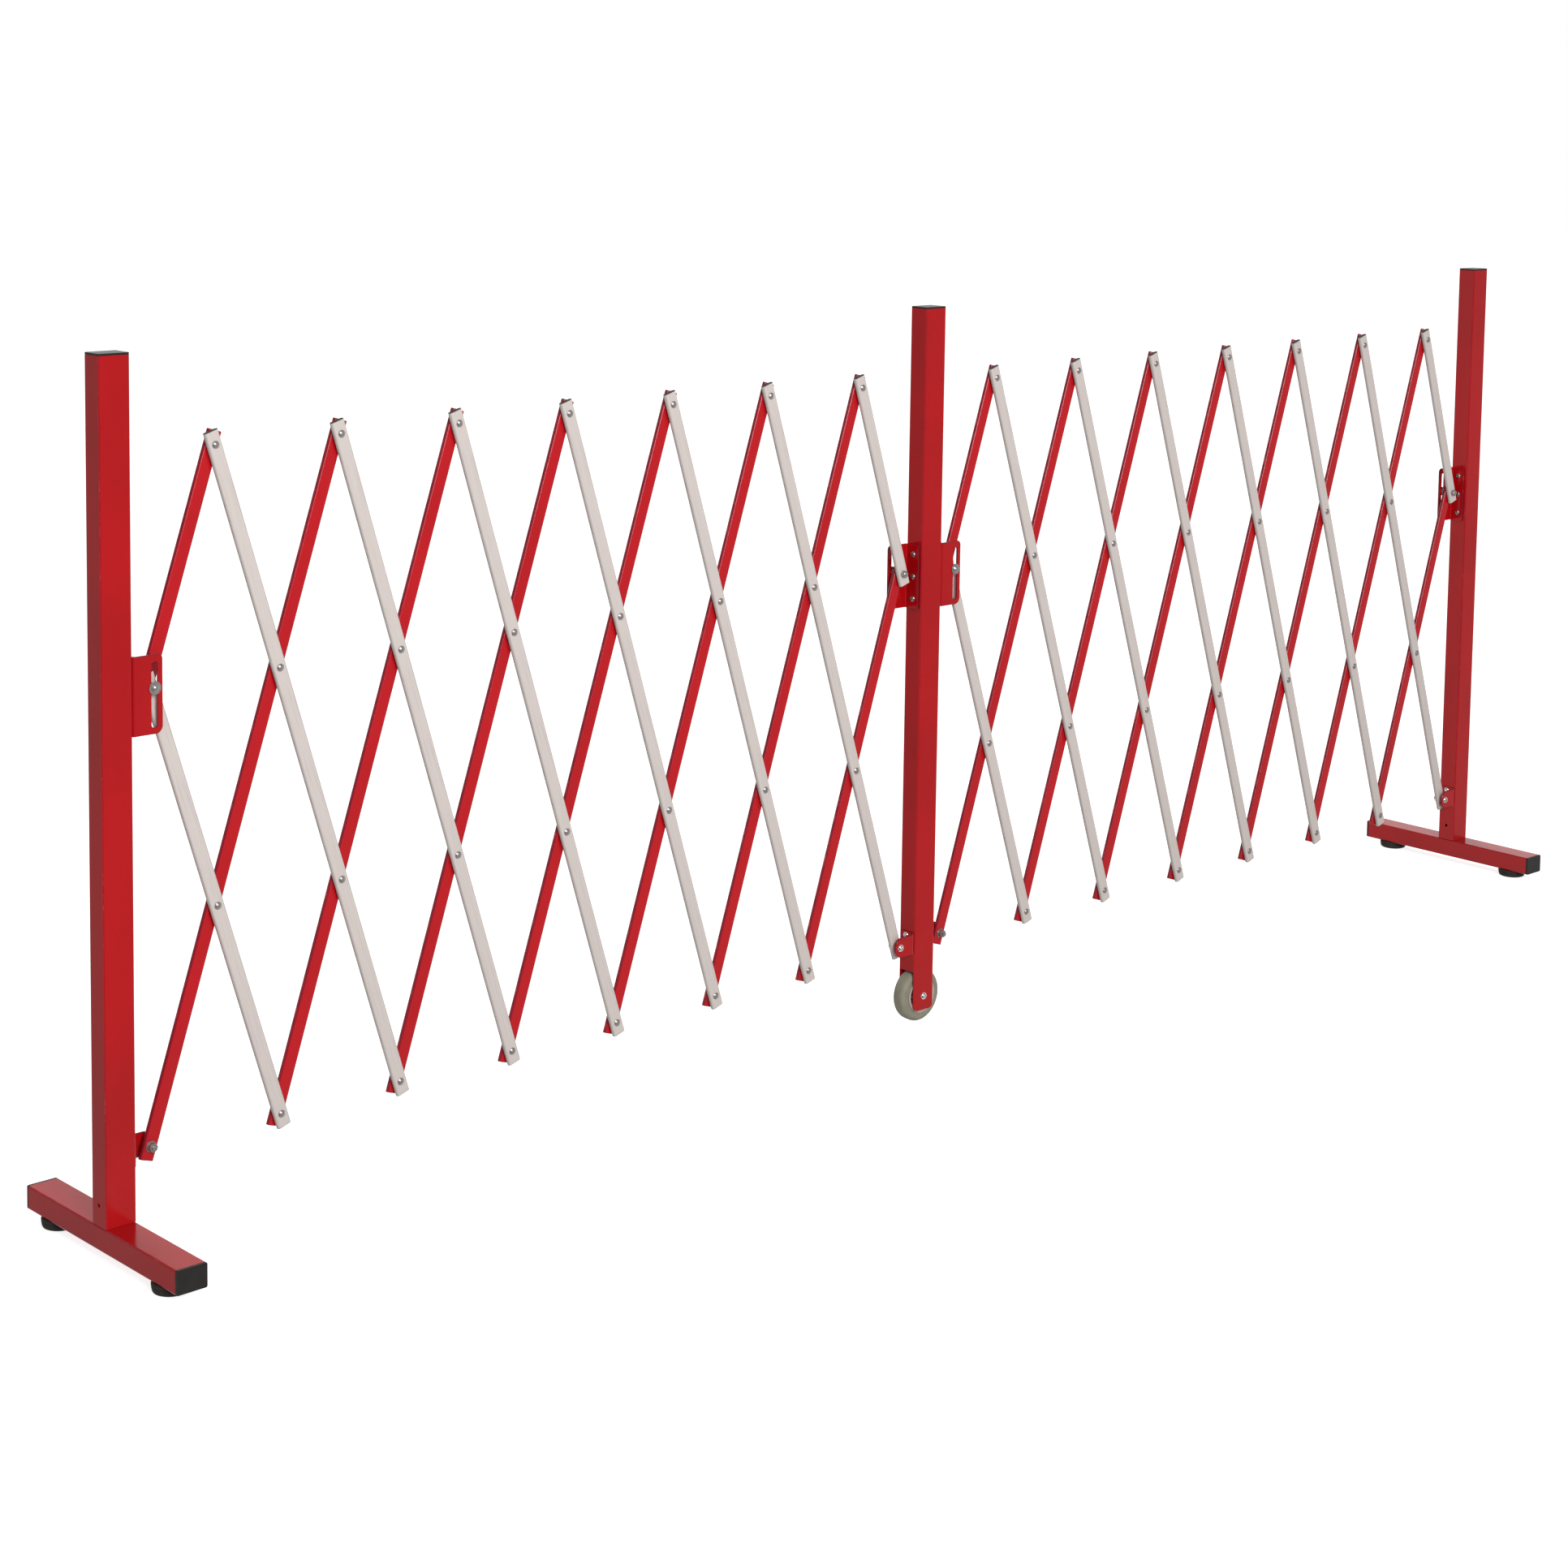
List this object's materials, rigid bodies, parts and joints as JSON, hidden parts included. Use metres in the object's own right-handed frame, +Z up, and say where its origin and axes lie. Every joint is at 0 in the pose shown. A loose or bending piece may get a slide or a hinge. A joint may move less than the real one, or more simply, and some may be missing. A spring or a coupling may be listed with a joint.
{
  "type": "expandable safety barrier",
  "caption": "Folding scissor-lattice barrier of red and off-white bars between posts, on cross feet with rubber pads and a middle wheel.",
  "frame": {"origin": "on the floor, at the middle of the length and of the depth", "axes": "+X along the barrier to the end that is farther in the picture, -Y the front with the off-white bars, +Z up"},
  "size_m": [2.587, 0.32, 1],
  "materials": {
    "red_paint": "gloss paint on steel tube and sheet",
    "bar_red": "gloss red paint",
    "bar_cream": "satin off-white paint",
    "black_plastic": "moulded",
    "pad_rubber": "matt",
    "tyre_rubber": "matt grey-green",
    "hub_plastic": "moulded",
    "bright_steel": "bright zinc"
  },
  "bodies": {
    "middle": {"middle_post": "red_paint", "middle_post_cap": "black_plastic", "middle_slot_bracket_left": "red_paint", "middle_pivot_bracket_left": "red_paint", "middle_slot_bracket_right": "red_paint", "middle_pivot_bracket_right": "red_paint", "wheel_axle": "bright_steel"},
    "wheel": {"wheel_tyre": "tyre_rubber", "wheel_hub": "hub_plastic"},
    "left_end": {"left_post": "red_paint", "left_post_cap": "black_plastic", "left_foot_bar": "red_paint", "left_foot_cap_front": "black_plastic", "left_foot_cap_back": "black_plastic", "left_foot_pad_front": "pad_rubber", "left_foot_pad_back": "pad_rubber", "left_slot_bracket": "red_paint", "left_pivot_bracket": "red_paint"},
    "right_end": {"right_post": "red_paint", "right_post_cap": "black_plastic", "right_foot_bar": "red_paint", "right_foot_cap_front": "black_plastic", "right_foot_cap_back": "black_plastic", "right_foot_pad_front": "pad_rubber", "right_foot_pad_back": "pad_rubber", "right_slot_bracket": "red_paint", "right_pivot_bracket": "red_paint"},
    "left_front_bar_6": {"left_front_bar_6": "bar_cream"},
    "left_back_bar_5": {"left_back_bar_5": "bar_red"},
    "left_front_bar_3": {"left_front_bar_3": "bar_cream"},
    "left_back_bar_2": {"left_back_bar_2": "bar_red"},
    "left_front_bar_0": {"left_front_bar_0": "bar_cream"},
    "left_back_bar_1": {"left_back_bar_1": "bar_red"},
    "left_back_bar_6": {"left_back_bar_6": "bar_red"},
    "left_back_bar_7": {"left_back_bar_7": "bar_red"},
    "left_front_bar_7": {"left_front_bar_7": "bar_cream"},
    "left_front_bar_5": {"left_front_bar_5": "bar_cream"},
    "left_front_bar_4": {"left_front_bar_4": "bar_cream"},
    "left_back_bar_4": {"left_back_bar_4": "bar_red"},
    "left_back_bar_3": {"left_back_bar_3": "bar_red"},
    "left_front_bar_2": {"left_front_bar_2": "bar_cream"},
    "left_front_bar_1": {"left_front_bar_1": "bar_cream"},
    "left_back_bar_0": {"left_back_bar_0": "bar_red"},
    "right_back_bar_1": {"right_back_bar_1": "bar_red"},
    "right_front_bar_2": {"right_front_bar_2": "bar_cream"},
    "right_back_bar_4": {"right_back_bar_4": "bar_red"},
    "right_front_bar_5": {"right_front_bar_5": "bar_cream"},
    "right_back_bar_7": {"right_back_bar_7": "bar_red"},
    "right_front_bar_6": {"right_front_bar_6": "bar_cream"},
    "right_front_bar_1": {"right_front_bar_1": "bar_cream"},
    "right_front_bar_0": {"right_front_bar_0": "bar_cream"},
    "right_back_bar_0": {"right_back_bar_0": "bar_red"},
    "right_back_bar_2": {"right_back_bar_2": "bar_red"},
    "right_back_bar_3": {"right_back_bar_3": "bar_red"},
    "right_front_bar_3": {"right_front_bar_3": "bar_cream"},
    "right_front_bar_4": {"right_front_bar_4": "bar_cream"},
    "right_back_bar_5": {"right_back_bar_5": "bar_red"},
    "right_back_bar_6": {"right_back_bar_6": "bar_red"},
    "right_front_bar_7": {"right_front_bar_7": "bar_cream"}
  },
  "joints": [
    {"name": "wheel_roll", "type": "hinge", "parent": "middle", "child": "wheel", "pos_m": [-0.0168, 0, 0.037], "axis": [0, 1, 0], "continuous": true},
    {"name": "left_fold", "type": "hinge", "parent": "middle", "child": "left_front_bar_6", "pos_m": [-0.0633, 0, 0.1136], "axis": [0, -1, 0], "range_deg": [-15.36, 10.74]},
    {"name": "left_back_bar_5_pivot", "type": "hinge", "parent": "left_front_bar_6", "child": "left_back_bar_5", "pos_m": [-0.3123, 0, 0.891], "axis": [0, 1, 0], "range_deg": [-30.82, 21.58]},
    {"name": "left_front_bar_3_pivot", "type": "hinge", "parent": "left_back_bar_5", "child": "left_front_bar_3", "pos_m": [-0.5613, 0, 0.1136], "axis": [0, 1, 0], "range_deg": [-21.58, 30.82]},
    {"name": "left_back_bar_2_pivot", "type": "hinge", "parent": "left_front_bar_3", "child": "left_back_bar_2", "pos_m": [-0.8103, 0, 0.891], "axis": [0, 1, 0], "range_deg": [-30.82, 21.58]},
    {"name": "left_front_bar_0_pivot", "type": "hinge", "parent": "left_back_bar_2", "child": "left_front_bar_0", "pos_m": [-1.0593, 0, 0.1136], "axis": [0, 1, 0], "range_deg": [-21.58, 30.82]},
    {"name": "left_back_bar_1_pivot", "type": "hinge", "parent": "left_front_bar_0", "child": "left_back_bar_1", "pos_m": [-1.1423, 0, 0.37273], "axis": [0, 1, 0], "range_deg": [-30.82, 21.58]},
    {"name": "left_back_bar_6_pivot", "type": "hinge", "parent": "left_front_bar_6", "child": "left_back_bar_6", "pos_m": [-0.2293, 0, 0.63186], "axis": [0, 1, 0], "range_deg": [-30.82, 21.58]},
    {"name": "left_back_bar_7_pivot", "type": "hinge", "parent": "left_front_bar_6", "child": "left_back_bar_7", "pos_m": [-0.1463, 0, 0.37273], "axis": [0, 1, 0], "range_deg": [-30.82, 21.58]},
    {"name": "left_front_bar_7_pivot", "type": "hinge", "parent": "left_back_bar_7", "child": "left_front_bar_7", "pos_m": [-0.0633, 0, 0.63186], "axis": [0, 1, 0], "range_deg": [-21.58, 30.82]},
    {"name": "left_front_bar_5_pivot", "type": "hinge", "parent": "left_back_bar_5", "child": "left_front_bar_5", "pos_m": [-0.3953, 0, 0.63186], "axis": [0, 1, 0], "range_deg": [-21.58, 30.82]},
    {"name": "left_front_bar_4_pivot", "type": "hinge", "parent": "left_back_bar_5", "child": "left_front_bar_4", "pos_m": [-0.4783, 0, 0.37273], "axis": [0, 1, 0], "range_deg": [-21.58, 30.82]},
    {"name": "left_back_bar_4_pivot", "type": "hinge", "parent": "left_front_bar_3", "child": "left_back_bar_4", "pos_m": [-0.6443, 0, 0.37273], "axis": [0, 1, 0], "range_deg": [-30.82, 21.58]},
    {"name": "left_back_bar_3_pivot", "type": "hinge", "parent": "left_front_bar_3", "child": "left_back_bar_3", "pos_m": [-0.7273, 0, 0.63186], "axis": [0, 1, 0], "range_deg": [-30.82, 21.58]},
    {"name": "left_front_bar_2_pivot", "type": "hinge", "parent": "left_back_bar_2", "child": "left_front_bar_2", "pos_m": [-0.8933, 0, 0.63186], "axis": [0, 1, 0], "range_deg": [-21.58, 30.82]},
    {"name": "left_front_bar_1_pivot", "type": "hinge", "parent": "left_back_bar_2", "child": "left_front_bar_1", "pos_m": [-0.9763, 0, 0.37273], "axis": [0, 1, 0], "range_deg": [-21.58, 30.82]},
    {"name": "left_back_bar_0_pivot", "type": "hinge", "parent": "left_front_bar_0", "child": "left_back_bar_0", "pos_m": [-1.2253, 0, 0.63186], "axis": [0, 1, 0], "range_deg": [-30.82, 21.58]},
    {"name": "left_end_pivot", "type": "hinge", "parent": "left_back_bar_1", "child": "left_end", "pos_m": [-1.2253, 0, 0.1136], "axis": [0, 1, 0], "range_deg": [-10.84, 15.46]},
    {"name": "right_fold", "type": "hinge", "parent": "middle", "child": "right_back_bar_1", "pos_m": [0.0297, 0, 0.1136], "axis": [0, 1, 0], "range_deg": [-15.89, 10.21]},
    {"name": "right_front_bar_2_pivot", "type": "hinge", "parent": "right_back_bar_1", "child": "right_front_bar_2", "pos_m": [0.2859, 0, 0.88865], "axis": [0, 1, 0], "range_deg": [-20.52, 31.88]},
    {"name": "right_back_bar_4_pivot", "type": "hinge", "parent": "right_front_bar_2", "child": "right_back_bar_4", "pos_m": [0.5421, 0, 0.1136], "axis": [0, 1, 0], "range_deg": [-31.88, 20.52]},
    {"name": "right_front_bar_5_pivot", "type": "hinge", "parent": "right_back_bar_4", "child": "right_front_bar_5", "pos_m": [0.7983, 0, 0.88865], "axis": [0, 1, 0], "range_deg": [-20.52, 31.88]},
    {"name": "right_back_bar_7_pivot", "type": "hinge", "parent": "right_front_bar_5", "child": "right_back_bar_7", "pos_m": [1.0545, 0, 0.1136], "axis": [0, 1, 0], "range_deg": [-31.88, 20.52]},
    {"name": "right_front_bar_6_pivot", "type": "hinge", "parent": "right_back_bar_7", "child": "right_front_bar_6", "pos_m": [1.1399, 0, 0.37195], "axis": [0, 1, 0], "range_deg": [-20.52, 31.88]},
    {"name": "right_front_bar_1_pivot", "type": "hinge", "parent": "right_back_bar_1", "child": "right_front_bar_1", "pos_m": [0.2005, 0, 0.6303], "axis": [0, 1, 0], "range_deg": [-20.52, 31.88]},
    {"name": "right_front_bar_0_pivot", "type": "hinge", "parent": "right_back_bar_1", "child": "right_front_bar_0", "pos_m": [0.1151, 0, 0.37195], "axis": [0, 1, 0], "range_deg": [-20.52, 31.88]},
    {"name": "right_back_bar_0_pivot", "type": "hinge", "parent": "right_front_bar_0", "child": "right_back_bar_0", "pos_m": [0.0297, 0, 0.6303], "axis": [0, 1, 0], "range_deg": [-31.88, 20.52]},
    {"name": "right_back_bar_2_pivot", "type": "hinge", "parent": "right_front_bar_2", "child": "right_back_bar_2", "pos_m": [0.3713, 0, 0.6303], "axis": [0, 1, 0], "range_deg": [-31.88, 20.52]},
    {"name": "right_back_bar_3_pivot", "type": "hinge", "parent": "right_front_bar_2", "child": "right_back_bar_3", "pos_m": [0.4567, 0, 0.37195], "axis": [0, 1, 0], "range_deg": [-31.88, 20.52]},
    {"name": "right_front_bar_3_pivot", "type": "hinge", "parent": "right_back_bar_4", "child": "right_front_bar_3", "pos_m": [0.6275, 0, 0.37195], "axis": [0, 1, 0], "range_deg": [-20.52, 31.88]},
    {"name": "right_front_bar_4_pivot", "type": "hinge", "parent": "right_back_bar_4", "child": "right_front_bar_4", "pos_m": [0.7129, 0, 0.6303], "axis": [0, 1, 0], "range_deg": [-20.52, 31.88]},
    {"name": "right_back_bar_5_pivot", "type": "hinge", "parent": "right_front_bar_5", "child": "right_back_bar_5", "pos_m": [0.8837, 0, 0.6303], "axis": [0, 1, 0], "range_deg": [-31.88, 20.52]},
    {"name": "right_back_bar_6_pivot", "type": "hinge", "parent": "right_front_bar_5", "child": "right_back_bar_6", "pos_m": [0.9691, 0, 0.37195], "axis": [0, 1, 0], "range_deg": [-31.88, 20.52]},
    {"name": "right_front_bar_7_pivot", "type": "hinge", "parent": "right_back_bar_7", "child": "right_front_bar_7", "pos_m": [1.2253, 0, 0.6303], "axis": [0, 1, 0], "range_deg": [-20.52, 31.88]},
    {"name": "right_end_pivot", "type": "hinge", "parent": "right_front_bar_6", "child": "right_end", "pos_m": [1.2253, 0, 0.1136], "axis": [0, 1, 0], "range_deg": [-15.99, 10.31]}
  ],
  "couplings": [
    {"joint": "left_back_bar_5_pivot", "follows": "left_fold", "ratio": 2},
    {"joint": "left_front_bar_3_pivot", "follows": "left_fold", "ratio": -2},
    {"joint": "left_back_bar_2_pivot", "follows": "left_fold", "ratio": 2},
    {"joint": "left_front_bar_0_pivot", "follows": "left_fold", "ratio": -2},
    {"joint": "left_back_bar_1_pivot", "follows": "left_fold", "ratio": 2},
    {"joint": "left_back_bar_6_pivot", "follows": "left_fold", "ratio": 2},
    {"joint": "left_back_bar_7_pivot", "follows": "left_fold", "ratio": 2},
    {"joint": "left_front_bar_7_pivot", "follows": "left_fold", "ratio": -2},
    {"joint": "left_front_bar_5_pivot", "follows": "left_fold", "ratio": -2},
    {"joint": "left_front_bar_4_pivot", "follows": "left_fold", "ratio": -2},
    {"joint": "left_back_bar_4_pivot", "follows": "left_fold", "ratio": 2},
    {"joint": "left_back_bar_3_pivot", "follows": "left_fold", "ratio": 2},
    {"joint": "left_front_bar_2_pivot", "follows": "left_fold", "ratio": -2},
    {"joint": "left_front_bar_1_pivot", "follows": "left_fold", "ratio": -2},
    {"joint": "left_back_bar_0_pivot", "follows": "left_fold", "ratio": 2},
    {"joint": "left_end_pivot", "follows": "left_fold", "ratio": -1},
    {"joint": "right_front_bar_2_pivot", "follows": "right_fold", "ratio": -2},
    {"joint": "right_back_bar_4_pivot", "follows": "right_fold", "ratio": 2},
    {"joint": "right_front_bar_5_pivot", "follows": "right_fold", "ratio": -2},
    {"joint": "right_back_bar_7_pivot", "follows": "right_fold", "ratio": 2},
    {"joint": "right_front_bar_6_pivot", "follows": "right_fold", "ratio": -2},
    {"joint": "right_front_bar_1_pivot", "follows": "right_fold", "ratio": -2},
    {"joint": "right_front_bar_0_pivot", "follows": "right_fold", "ratio": -2},
    {"joint": "right_back_bar_0_pivot", "follows": "right_fold", "ratio": 2},
    {"joint": "right_back_bar_2_pivot", "follows": "right_fold", "ratio": 2},
    {"joint": "right_back_bar_3_pivot", "follows": "right_fold", "ratio": 2},
    {"joint": "right_front_bar_3_pivot", "follows": "right_fold", "ratio": -2},
    {"joint": "right_front_bar_4_pivot", "follows": "right_fold", "ratio": -2},
    {"joint": "right_back_bar_5_pivot", "follows": "right_fold", "ratio": 2},
    {"joint": "right_back_bar_6_pivot", "follows": "right_fold", "ratio": 2},
    {"joint": "right_front_bar_7_pivot", "follows": "right_fold", "ratio": -2},
    {"joint": "right_end_pivot", "follows": "right_fold", "ratio": 1}
  ]
}
